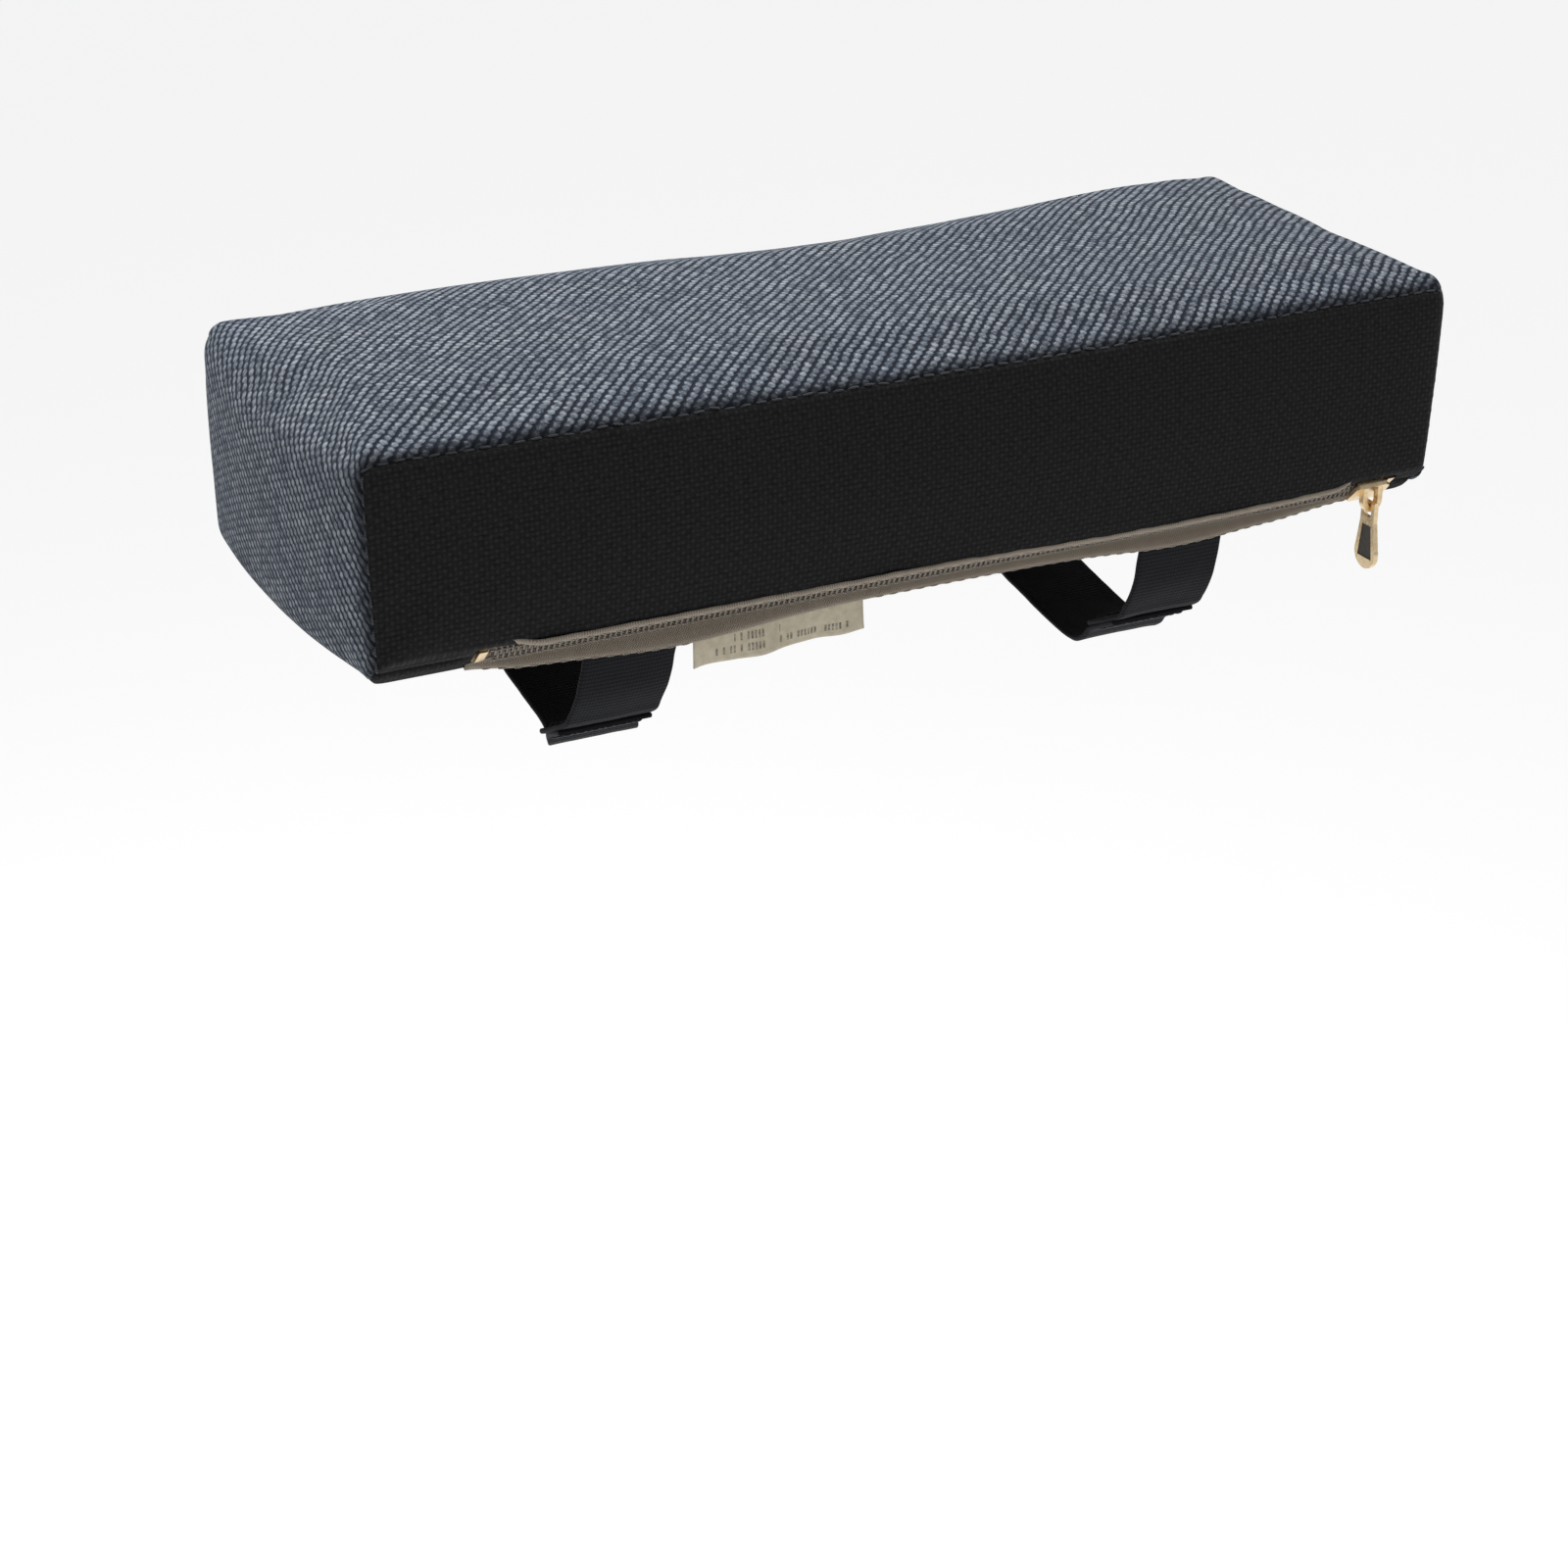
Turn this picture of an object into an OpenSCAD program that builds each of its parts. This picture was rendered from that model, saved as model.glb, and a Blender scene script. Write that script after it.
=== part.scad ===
// Chair armrest pad: a foam block in a zipped cloth cover with two elastic strap loops.
// Origin: centre of the flat underside. +X along the length, -Y to the zipped side, +Z up.

/* [Pad] */
// Overall length of the pad
pad_length = 250; // [200:1:320]
// Overall width of the pad
pad_width = 92; // [70:1:120]
// Height of the pad from underside to top
pad_height = 50; // [30:1:70]
// Rounding of the long and end edges along the top
top_round = 7.5; // [3:0.5:10]
// Rounding of the upright corners, seen from above
corner_round = 4.5; // [3:0.5:6]
// Thickness of the cover cloth
cloth = 1.2; // [0.8:0.1:1.6]

/* [Zipper] */
// Width and height of the flat lower front edge that holds the zipper
edge_flat = 7; // [7:0.5:10]
// Left end of the zipper chain along X
chain_left = -99; // [-110:1:-60]
// Right end of the zipper chain along X
chain_right = 112.6; // [60:0.1:116]
// Spacing of the teeth on one side of the chain
tooth_pitch = 1.2; // [1:0.1:2]
// Length of the slider along X
slider_length = 9; // [7:0.5:12]
// Length of the pull tab from its bar to its tip
pull_length = 15.6; // [12:0.2:22]
// Widest part of the pull tab
pull_width = 7.2; // [5:0.1:7.4]

/* [Straps] */
// Distance of each strap's centre from the middle of the pad
strap_offset = 65; // [45:1:95]
// Width of the elastic straps along X
strap_width = 20.5; // [15:0.5:30]
// Thickness of the elastic straps
strap_thick = 1.2; // [0.8:0.1:1.6]

/* [Label] */
// Width of the care label along X
label_width = 38.5; // [25:0.5:45]
// Height of the care label
label_height = 8; // [6:0.2:14]
// Position of the label's centre along X
label_centre = -34; // [-35:0.5:-20]

/* [Hidden] */
$fn = 48;
half_l = pad_length / 2;
half_w = pad_width / 2;
bottom_round = 5.5;
seam_in = 2.6;
panel_y = half_w - seam_in;
flat_mid_y = -half_w + edge_flat / 2;
flat_mid_z = edge_flat / 2;
slot_half = 3.4;
tape_top = -cloth;
tape_thick = 0.6;
tape_low = tape_top - tape_thick;
tape_inner = 0.25;
tape_outer = 4.4;
tape_left = chain_left - 6;
tape_right = chain_right + 5;
slot_left = chain_left - 3.2;
slot_right = chain_right + 3;
chain_top = 0.3;
tooth_width = 0.5;
tooth_count = floor((chain_right - chain_left) / tooth_pitch);
chain_half = 2;
slider_x = chain_right - slider_length / 2;
crown_y = flat_mid_y - 2;
crown_z = 1.15;
crown_outer = 2.5;
crown_inner = 1.3;
crown_thick = 1.5;
bar_r = 0.6;
bar_z = crown_z - crown_inner + bar_r + 0.05;
tab_thick = 1.1;
neck_width = 4.7;
eye_width = 2.5;
eye_depth = 3.1;
inlay_top = -5;
inlay_low = -12.6;
label_y = -half_w + edge_flat - 0.55;
label_thick = 0.4;
label_gap = 0.4;
stitch_step = 4;
// Centrelines of a strap's two lengths of elastic in (Y, Z): the tail sewn into the front
// seam, and the loop that runs under the chair's arm to the rear seam.
tail_path = [
  [-39.7, 0], [-39.4, -5], [-38.1, -12], [-35.4, -17.8], [-32.8, -21],
  [-22, -26.8]
];
tail_split = 4;
loop_path = [
  [-32.25, -23.1], [-22.55, -28.3], [-19.2, -31.2], [-14.4, -33.4], [-4.5, -33.2],
  [6.8, -31.4], [18, -29], [28.5, -25.4], [36, -20], [39.8, -14.2], [41.4, -7],
  [41.4, 0]
];
loop_split = 8;
path_steps = 3;

// ---- shared shapes -------------------------------------------------------

// A rectangle from z = low to z = high, centred on x = 0, with round corners.
module round_panel(width, low, high, r_low, r_high) {
  translate([-width / 2 + r_low, low]) square([width - 2 * r_low, r_low]);
  translate([-width / 2, low + r_low]) square([width, high - low - r_low - r_high]);
  translate([-width / 2 + r_high, high - r_high]) square([width - 2 * r_high, r_high]);
  for (s = [-1, 1]) {
    translate([s * (width / 2 - r_low), low + r_low]) circle(r = r_low);
    translate([s * (width / 2 - r_high), high - r_high]) circle(r = r_high);
  }
}

// Across the pad: round top corners and one flat lower front edge.
module cross_profile(d) {
  cut = edge_flat - d * sqrt(2) + d;
  difference() {
    round_panel(pad_width - 2 * d, d, pad_height - d, bottom_round - d, top_round - d);
    polygon([
      [-half_w - 1, -1], [-half_w + edge_flat + d * sqrt(2) + 1, -1],
      [-half_w - 1, edge_flat + d * sqrt(2) + 1]
    ]);
  }
}

// The pad's whole form, brought in by d on every side.
module pad_form(d) {
  intersection() {
    translate([0, half_w + 1, 0]) rotate([90, 0, 0])
      linear_extrude(height = pad_width + 2)
        round_panel(pad_length - 2 * d, d, pad_height - d, bottom_round - d, top_round - d);
    translate([-half_l - 1, 0, 0]) rotate([90, 0, 90])
      linear_extrude(height = pad_length + 2)
        cross_profile(d);
    translate([0, 0, -1])
      linear_extrude(height = pad_height + 2)
        translate([0, -half_w])
          round_panel(pad_length - 2 * d, d, pad_width - d, corner_round - d, corner_round - d);
  }
}

module cloth_shell() {
  difference() {
    pad_form(0);
    pad_form(cloth);
  }
}

// Frame of the zipper: local Y points up and forward, local Z points out of the pad.
module on_edge() {
  translate([0, flat_mid_y, flat_mid_z]) rotate([135, 0, 0]) children();
}

// A block in the zipper frame from [x0, v0, w0] to [x1, v1, w1].
module edge_block(x0, x1, v0, v1, w0, w1) {
  on_edge() translate([x0, v0, w0]) cube([x1 - x0, v1 - v0, w1 - w0]);
}

module front_zone() {
  translate([-half_l - 5, -half_w - 5, -5])
    cube([pad_length + 10, 5 + seam_in, pad_height + 10]);
}

module rear_zone() {
  translate([-half_l - 5, panel_y, -5])
    cube([pad_length + 10, 5 + seam_in, pad_height + 10]);
}

module bottom_zone() {
  translate([-half_l + seam_in, -panel_y, -5])
    cube([pad_length - 2 * seam_in, 2 * panel_y, 5 + seam_in]);
  translate([-half_l + seam_in, -panel_y, -5])
    cube([pad_length - 2 * seam_in, edge_flat - seam_in + 2, 5 + edge_flat]);
}

module zipper_slot() {
  edge_block(slot_left, slot_right, -slot_half, slot_half, -3, 3);
}

// ---- cushion and cover ---------------------------------------------------

module foam_core() {
  color([0.88, 0.84, 0.72])
    difference() {
      pad_form(cloth);
      edge_block(-half_l - 1, half_l + 1, -14, 14, -4.4, 8);
    }
}

module cover_top_panel() {
  color([0.42, 0.47, 0.55])
    difference() {
      cloth_shell();
      front_zone();
      rear_zone();
      bottom_zone();
    }
}

module cover_front_panel() {
  color([0.09, 0.09, 0.1])
    difference() {
      intersection() {
        cloth_shell();
        front_zone();
      }
      zipper_slot();
    }
}

module cover_rear_panel() {
  color([0.09, 0.09, 0.1])
    intersection() {
      cloth_shell();
      rear_zone();
    }
}

module cover_bottom_panel() {
  color([0.08, 0.08, 0.09])
    difference() {
      intersection() {
        cloth_shell();
        bottom_zone();
      }
      zipper_slot();
    }
}

// Stitches that lie across the seams of one long side panel.
module seam_stitches(side) {
  y_seam = side * panel_y;
  rise = 0.25;
  long_n = floor((pad_length - 2 * top_round - 8) / stitch_step);
  up_n = floor((pad_height - top_round - 12) / stitch_step);
  // offset of the round top edge where the seam crosses it
  drop = top_round - sqrt(top_round * top_round - pow(top_round - seam_in, 2));
  inset = corner_round - sqrt(corner_round * corner_round - pow(corner_round - seam_in, 2));
  for (i = [0 : long_n]) {
    translate([(i - long_n / 2) * stitch_step - 1.1, y_seam - 0.25, pad_height - drop - 0.4])
      cube([2.2, 0.5, 0.4 + rise]);
  }
  for (s = [-1, 1]) {
    for (i = [0 : up_n]) {
      translate([s * (half_l - inset + rise / 2 - 0.2) - 0.32, y_seam - 0.25,
                 10 + i * stitch_step])
        cube([0.64, 0.5, 2.2]);
    }
  }
}

module seam_thread_front() {
  color([0.2, 0.21, 0.24]) seam_stitches(-1);
}

module seam_thread_rear() {
  color([0.2, 0.21, 0.24]) seam_stitches(1);
}

// ---- zipper --------------------------------------------------------------

module zipper_tape_upper() {
  color([0.46, 0.43, 0.4])
    edge_block(tape_left, tape_right, tape_inner, tape_outer, tape_low, tape_top);
}

module zipper_tape_lower() {
  color([0.46, 0.43, 0.4])
    edge_block(tape_left, tape_right, -tape_outer, -tape_inner, tape_low, tape_top);
}

// One side of the chain: a spine with teeth that reach across the middle.
module chain_side(shift) {
  tip = -0.6;
  root = 1.3;
  n = tooth_count - 1;
  teeth = [
    for (i = [0 : n - 1])
      for (k = [0 : 3])
        [
          chain_left + 0.6 + shift + i * tooth_pitch + (k < 2 ? -tooth_width : tooth_width) / 2,
          (k == 0 || k == 3) ? root : tip
        ]
  ];
  linear_extrude(height = chain_top - tape_top)
    polygon(concat(
      [[chain_left, chain_half], [chain_left, root]],
      teeth,
      [[chain_right, root], [chain_right, chain_half]]
    ));
}

module zipper_coil_upper() {
  color([0.5, 0.47, 0.43])
    on_edge() translate([0, 0, tape_top]) chain_side(0);
}

module zipper_coil_lower() {
  color([0.5, 0.47, 0.43])
    on_edge() translate([0, 0, tape_top]) mirror([0, 1, 0]) chain_side(tooth_pitch / 2);
}

// Two clamps, one on the inner edge of each tape, just past the slider.
module zipper_top_stops() {
  color([0.8, 0.66, 0.42])
    for (s = [-1, 1]) {
      on_edge() difference() {
        translate([chain_right + 0.4, s > 0 ? 0.05 : -2.05, tape_low - 0.4])
          cube([1.6, 2, tape_thick + 1.5]);
        translate([chain_right, s > 0 ? tape_inner : -2.3 - tape_inner, tape_low])
          cube([3, 2.3, tape_thick]);
      }
    }
}

// One clamp over both tapes at the closed end of the chain.
module zipper_bottom_stop() {
  color([0.8, 0.66, 0.42])
    on_edge() difference() {
      translate([chain_left - 2, -2.2, tape_low - 0.4])
        cube([1.8, 4.4, tape_thick + 1.7]);
      for (s = [-1, 1]) {
        translate([chain_left - 3, s > 0 ? tape_inner : -3 - tape_inner, tape_low])
          cube([4, 3, tape_thick]);
      }
    }
}

// Outline of the slider's plates: wider where the two tapes part.
module slider_plate(thick) {
  linear_extrude(height = thick)
    union() {
      polygon([
        [-slider_length / 2, -2.2], [-slider_length / 2, 2.2],
        [-slider_length / 2 + 0.8, 3], [slider_length / 2 - 1.4, 3.3],
        [slider_length / 2 - 0.3, 2.4], [slider_length / 2, 1],
        [slider_length / 2, -1], [slider_length / 2 - 0.3, -2.4],
        [slider_length / 2 - 1.4, -3.3], [-slider_length / 2 + 0.8, -3]
      ]);
    }
}

// Arch under the slider that the pull tab's bar hangs in.
module slider_crown() {
  translate([slider_x, crown_y + crown_thick / 2, 0]) rotate([90, 0, 0])
    linear_extrude(height = crown_thick)
      difference() {
        union() {
          translate([0, crown_z]) circle(r = crown_outer);
          translate([-crown_outer, crown_z]) square([2 * crown_outer, 6]);
        }
        translate([0, crown_z]) circle(r = crown_inner);
        translate([-crown_inner, crown_z]) square([2 * crown_inner, 7]);
      }
}

module zipper_slider() {
  color([0.83, 0.69, 0.44])
    union() {
      on_edge() translate([slider_x, 0, 0.55]) slider_plate(0.9);
      on_edge() for (s = [-1, 1]) {
        translate([slider_x - slider_length / 2 + 0.8, s > 0 ? 2.3 : -3, tape_top + 0.2])
          cube([6, 0.7, 1.9]);
      }
      on_edge() translate([slider_x, 0, tape_low - 1.1]) slider_plate(0.8);
      difference() {
        slider_crown();
        edge_block(slider_x - 6, slider_x + 6, -9, 9, -9, 0.9);
      }
    }
}

// Flat outline of the pull tab in (Y, Z), measured from its bar.
module pull_outline() {
  tip_r = pull_width / 2;
  circle(r = 1.1);
  translate([-neck_width / 2, -eye_depth - 1.2]) square([neck_width, eye_depth + 1.6]);
  polygon([
    [-neck_width / 2, -eye_depth - 1], [neck_width / 2, -eye_depth - 1],
    [tip_r, -pull_length + tip_r + bar_z], [-tip_r, -pull_length + tip_r + bar_z]
  ]);
  translate([0, -pull_length + tip_r + bar_z]) circle(r = tip_r);
}

module inlay_outline(grow) {
  polygon([
    [-1.5 - grow, inlay_top + grow], [1.5 + grow, inlay_top + grow],
    [2.5 + grow, inlay_low - grow], [-2.5 - grow, inlay_low - grow]
  ]);
}

module zipper_pull_tab() {
  color([0.83, 0.69, 0.44])
    union() {
      difference() {
        translate([slider_x - tab_thick / 2, crown_y, bar_z]) rotate([90, 0, 90])
          linear_extrude(height = tab_thick)
            difference() {
              pull_outline();
              translate([-eye_width / 2, -eye_depth]) square([eye_width, eye_depth + 2]);
              inlay_outline(0);
            }
      }
      translate([slider_x, crown_y + neck_width / 2, bar_z]) rotate([90, 0, 0])
        cylinder(r = bar_r, h = neck_width);
    }
}

module zipper_pull_inlay() {
  color([0.2, 0.17, 0.15])
    translate([slider_x - 0.35, crown_y, bar_z]) rotate([90, 0, 90])
      linear_extrude(height = 0.7)
        inlay_outline(0);
}

// ---- label ---------------------------------------------------------------

module care_label() {
  color([0.86, 0.83, 0.75])
    translate([label_centre - label_width / 2, label_y, -label_gap - label_height])
      union() {
        cube([label_width, label_thick, label_height]);
        translate([0, label_thick / 2, label_height]) rotate([0, 90, 0])
          cylinder(r = label_thick / 2, h = label_width);
      }
}

// ---- straps --------------------------------------------------------------

// A point on the smooth curve through the path, between points i and i + 1.
function on_curve(path, i, t) =
  let (
    last = len(path) - 1,
    a = path[max(i - 1, 0)],
    b = path[i],
    c = path[min(i + 1, last)],
    d = path[min(i + 2, last)]
  )
  0.5 * (2 * b + (c - a) * t + (2 * a - 5 * b + 4 * c - d) * t * t
    + (3 * b - a - 3 * c + d) * t * t * t);

function smooth_path(path, steps) =
  concat(
    [for (i = [0 : len(path) - 2]) for (k = [0 : steps - 1]) on_curve(path, i, k / steps)],
    [path[len(path) - 1]]
  );

// The point beside path[i], d away, square to the path there.
function beside(path, i, d) =
  let (
    last = len(path) - 1,
    along = path[min(i + 1, last)] - path[max(i - 1, 0)],
    unit = along / norm(along)
  )
  path[i] + d * [-unit[1], unit[0]];

// A strip of even thickness between two points of a smooth line in (Y, Z).
module strip_profile(line, first, last) {
  polygon(concat(
    [for (i = [first : last]) beside(line, i, strap_thick / 2)],
    [for (i = [first : last]) beside(line, last + first - i, -strap_thick / 2)]
  ));
}

module strip(path, first, last, centre) {
  line = smooth_path(path, path_steps);
  color([0.07, 0.07, 0.08])
    translate([centre - strap_width / 2, 0, 0]) rotate([90, 0, 90])
      linear_extrude(height = strap_width)
        strip_profile(line, first * path_steps, last * path_steps);
}

module strap_front_tail(centre) {
  strip(tail_path, 0, tail_split, centre);
}

module strap_overlap_tab(centre) {
  strip(tail_path, tail_split, len(tail_path) - 1, centre);
}

module strap_band(centre) {
  strip(loop_path, 0, loop_split, centre);
}

module strap_rear_leg(centre) {
  strip(loop_path, loop_split, len(loop_path) - 1, centre);
}

// Rows of stitches on the outer face of the sewn overlap.
module strap_stitching(centre) {
  a = loop_path[0];
  b = loop_path[1];
  turn = atan2(b[1] - a[1], b[0] - a[0]);
  color([0.16, 0.16, 0.18])
    for (row = [0 : 2]) {
      for (i = [0 : 5]) {
        translate([centre - strap_width / 2 + 1.4 + i * 3.1, a[0], a[1]])
          rotate([turn, 0, 0])
            translate([0, 2 + row * 3.2, -strap_thick / 2 - 0.25])
              cube([2.2, 0.5, 0.4]);
      }
    }
}

module strap_left_front_tail() strap_front_tail(-strap_offset);
module strap_left_overlap_tab() strap_overlap_tab(-strap_offset);
module strap_left_band() strap_band(-strap_offset);
module strap_left_rear_leg() strap_rear_leg(-strap_offset);
module strap_left_stitching() strap_stitching(-strap_offset);
module strap_right_front_tail() strap_front_tail(strap_offset);
module strap_right_overlap_tab() strap_overlap_tab(strap_offset);
module strap_right_band() strap_band(strap_offset);
module strap_right_rear_leg() strap_rear_leg(strap_offset);
module strap_right_stitching() strap_stitching(strap_offset);

foam_core();
cover_top_panel();
cover_front_panel();
cover_rear_panel();
cover_bottom_panel();
seam_thread_front();
seam_thread_rear();
zipper_tape_upper();
zipper_tape_lower();
zipper_coil_upper();
zipper_coil_lower();
zipper_top_stops();
zipper_bottom_stop();
zipper_slider();
zipper_pull_tab();
zipper_pull_inlay();
care_label();
strap_left_front_tail();
strap_left_overlap_tab();
strap_left_band();
strap_left_rear_leg();
strap_left_stitching();
strap_right_front_tail();
strap_right_overlap_tab();
strap_right_band();
strap_right_rear_leg();
strap_right_stitching();
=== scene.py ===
import math

import bmesh
import bpy
import numpy as np
from mathutils import Matrix, Vector, noise


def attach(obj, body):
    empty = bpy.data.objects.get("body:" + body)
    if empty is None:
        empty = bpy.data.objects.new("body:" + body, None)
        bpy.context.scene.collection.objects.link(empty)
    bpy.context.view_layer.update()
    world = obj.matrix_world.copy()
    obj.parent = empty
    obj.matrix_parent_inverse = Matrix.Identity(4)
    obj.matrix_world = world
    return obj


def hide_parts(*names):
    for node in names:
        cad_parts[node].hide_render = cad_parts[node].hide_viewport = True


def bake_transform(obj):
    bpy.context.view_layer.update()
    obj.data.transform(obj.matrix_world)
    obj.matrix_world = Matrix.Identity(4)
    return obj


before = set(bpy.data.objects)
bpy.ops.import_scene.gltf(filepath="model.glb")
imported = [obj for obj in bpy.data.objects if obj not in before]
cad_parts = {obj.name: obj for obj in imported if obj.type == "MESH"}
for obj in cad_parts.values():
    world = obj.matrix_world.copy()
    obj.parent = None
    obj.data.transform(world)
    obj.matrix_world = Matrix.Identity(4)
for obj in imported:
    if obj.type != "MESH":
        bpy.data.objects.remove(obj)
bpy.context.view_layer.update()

MM = 0.001

# ---------------------------------------------------------------- measures, mm
HALF_L, HALF_W, HEIGHT = 125.0, 46.0, 50.0
EDGE_FLAT = 7.0
MID = np.array([-HALF_W + EDGE_FLAT / 2, EDGE_FLAT / 2])      # zipper centre, (y, z)
V_DIR = np.array([-1.0, 1.0]) / math.sqrt(2)                  # up and forward
W_DIR = np.array([-1.0, -1.0]) / math.sqrt(2)                 # out of the pad
CHAIN_L, CHAIN_R = -99.0, 112.6
TILT = 0.3                     # the chain lies turned a little towards the front
SLOT_L, SLOT_R = -102.2, 115.6
PITCH = 1.2
LABEL_X, LABEL_W = -34.0, 38.5   # middle and width of the care label
DROOP_X = 112.0                # beyond this the left end's lower edge may sag
STRAP_X, STRAP_W, STRAP_T = 65.0, 20.5, 1.2
TAIL = [(-39.8, 0.0), (-39.4, -5), (-38.1, -12), (-35.4, -17.8), (-32.8, -21), (-22, -26.8)]
LOOP = [(-32.1, -22.75), (-22.4, -27.95), (-19.2, -31.2), (-14.4, -33.4), (-4.5, -33.2),
        (6.8, -31.4), (18, -29), (28.5, -25.4), (36, -20), (39.8, -14.2), (41.4, -7),
        (41.4, 0)]


def edge_point(x, v, w):
    """A point of the zipper's own frame, in mm, as (x, y, z)."""
    p = MID + V_DIR * v + W_DIR * w
    return (x, p[0], p[1])


def bell(x, centre, width):
    return math.exp(-((x - centre) / width) ** 2)


def step(x, a, b):
    t = min(1.0, max(0.0, (x - a) / (b - a)))
    return t * t * (3 - 2 * t)


def hem_bulge(x):
    """How far the zipper's lower hem stands out, mm: most where straps and label are sewn in."""
    full = 1.3 + 2.2 * bell(x, -58, 24) + 1.6 * bell(x, 60, 20)
    return full * step(x, -104, -90) * (1 - step(x, 84, 106))


def hem_drop(x):
    """How far the front panel's hem hangs over the zipper, mm."""
    full = 0.7 + 1.0 * bell(x, 55, 45)
    return full * step(x, -100, -86) * (1 - step(x, 94, 106))


def lipped(x, v, w):
    """Moves a point of the zipper's frame with the front hem."""
    d = hem_drop(x)
    return v - 0.707 * 0.55 * d, w + 0.707 * 1.45 * d


# ---------------------------------------------------------------- camera
cam_data = bpy.data.cameras.new("camera")
cam_data.lens = 79.48
cam_data.sensor_width = 36.0
cam_data.clip_start = 0.01
cam = bpy.data.objects.new("camera", cam_data)
bpy.context.scene.collection.objects.link(cam)
right = Vector((0.88899, -0.4579, 0.00524))
up = Vector((0.19314, 0.38529, 0.90236))
back = right.cross(up)
cam.matrix_world = Matrix((
    (right.x, up.x, back.x, -0.3300),
    (right.y, up.y, back.y, -0.6133),
    (right.z, up.z, back.z, 0.2693),
    (0, 0, 0, 1)))
bpy.context.scene.camera = cam


# ---------------------------------------------------------------- mesh helpers
def new_object(name, verts, faces, smooth=True):
    """verts in mm."""
    mesh = bpy.data.meshes.new(name)
    mesh.from_pydata([tuple(float(c) * MM for c in v) for v in verts], [], faces)
    mesh.update()
    obj = bpy.data.objects.new(name, mesh)
    bpy.context.scene.collection.objects.link(obj)
    if smooth:
        mesh.shade_smooth()
    return obj


def outward(obj):
    bm = bmesh.new()
    bm.from_mesh(obj.data)
    bmesh.ops.recalc_face_normals(bm, faces=bm.faces)
    bm.to_mesh(obj.data)
    bm.free()


def set_vector(obj, name, values):
    attribute = obj.data.attributes.new(name, "FLOAT_VECTOR", "POINT")
    attribute.data.foreach_set("vector", np.asarray(values, np.float32).ravel())


def settle(obj):
    """Applies the object's modifiers."""
    graph = bpy.context.evaluated_depsgraph_get()
    mesh = bpy.data.meshes.new_from_object(obj.evaluated_get(graph))
    obj.modifiers.clear()
    obj.data = mesh
    return obj


def tube(verts, faces, path, ring, frames):
    """Adds a closed tube with round ends. ring is (a, b) offsets, frames the (A, B) axes."""
    base = len(verts)
    n = len(ring)
    for p, (a_axis, b_axis) in zip(path, frames):
        for a, b in ring:
            verts.append(tuple(p + a_axis * a + b_axis * b))
    for i in range(len(path) - 1):
        for k in range(n):
            q = (k + 1) % n
            faces.append((base + i * n + k, base + i * n + q,
                          base + (i + 1) * n + q, base + (i + 1) * n + k))
    faces.append(tuple(base + k for k in reversed(range(n))))
    faces.append(tuple(base + (len(path) - 1) * n + k for k in range(n)))


def stitch(verts, faces, centre, along, out, length=2.2, r=0.28, sink=0.12):
    """One sewn stitch: a short thread that dips into the cloth at both ends."""
    centre, along, out = (np.array(c, float) for c in (centre, along, out))
    along = along / np.linalg.norm(along)
    out = out / np.linalg.norm(out)
    side = np.cross(along, out)
    steps = 9
    path, frames, sizes = [], [], []
    for i in range(steps):
        t = i / (steps - 1) * 2 - 1
        path.append(centre + along * (t * length / 2) + out * (r * (1 - t * t) - sink))
        sizes.append(r * math.sqrt(max(0.05, 1 - 0.92 * t ** 6)))
        frames.append((side, out))
    base = len(verts)
    n = 8
    for p, s, (a, b) in zip(path, sizes, frames):
        for k in range(n):
            ang = 2 * math.pi * k / n
            verts.append(tuple(p + a * (s * math.cos(ang)) + b * (s * 0.85 * math.sin(ang))))
    for i in range(steps - 1):
        for k in range(n):
            q = (k + 1) % n
            faces.append((base + i * n + k, base + i * n + q,
                          base + (i + 1) * n + q, base + (i + 1) * n + k))
    faces.append(tuple(base + k for k in reversed(range(n))))
    faces.append(tuple(base + (steps - 1) * n + k for k in range(n)))


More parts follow.
